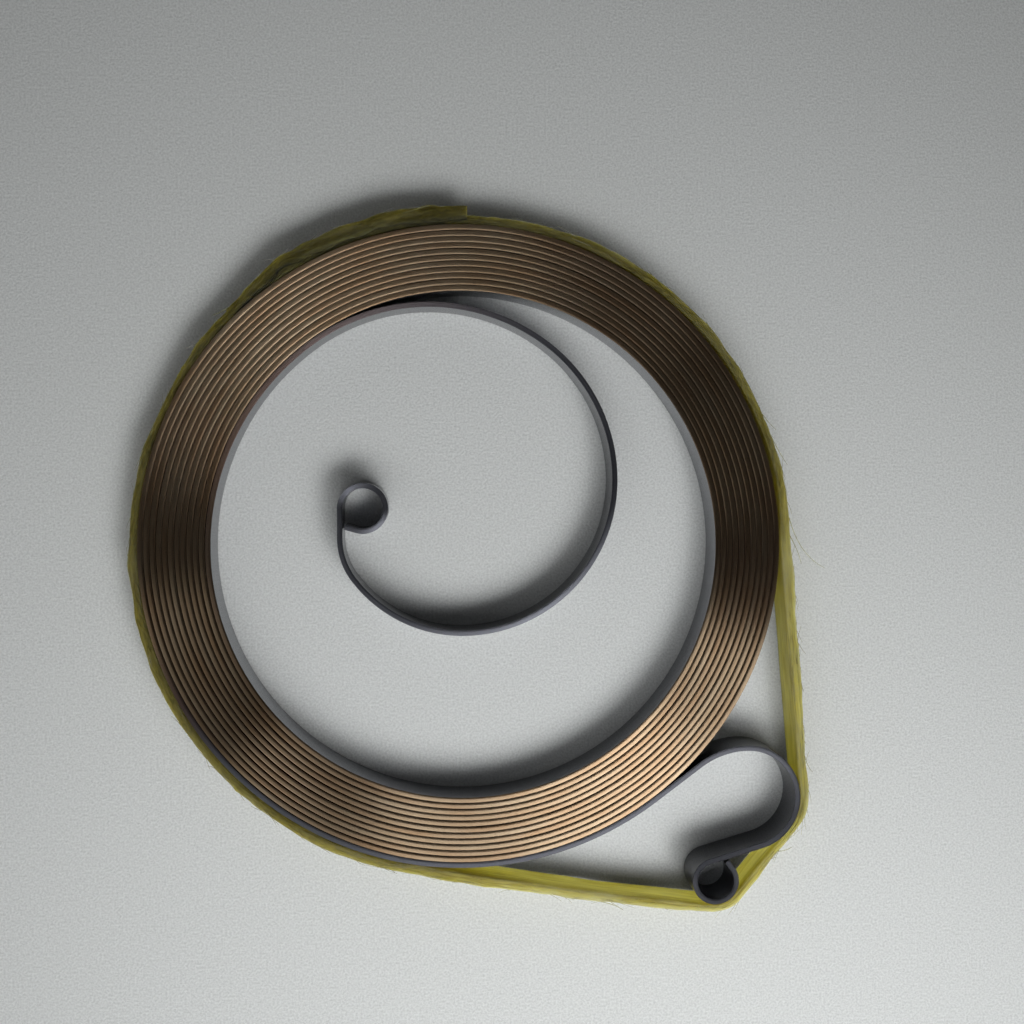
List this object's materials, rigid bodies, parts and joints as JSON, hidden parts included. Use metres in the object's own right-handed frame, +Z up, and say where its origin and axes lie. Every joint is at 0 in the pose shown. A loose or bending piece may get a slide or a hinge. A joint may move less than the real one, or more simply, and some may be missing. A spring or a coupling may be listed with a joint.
{
  "type": "recoil starter spring",
  "caption": "Flat spring-steel strip wound on edge into a tight spiral coil, with a rolled eye on its inner arm and on its looped outer tail, held wound by a film band.",
  "frame": {"origin": "the coil's axis, on the plane that the strip's lower edges stand on", "axes": "+Z up along the coil's axis, +X towards the side that the tail leaves, +Y away from the tail"},
  "size_m": [0.0682, 0.0711, 0.005],
  "materials": {
    "spring_steel": "hardened and tempered strip with straw-brown slit edges and blue-grey faces, lightly oiled",
    "film_band": "translucent olive-yellow fibrillated polypropylene film, drawn tight"
  },
  "bodies": {
    "root": {"recoil_spring": "spring_steel", "retaining_band": "film_band"}
  },
  "joints": []
}
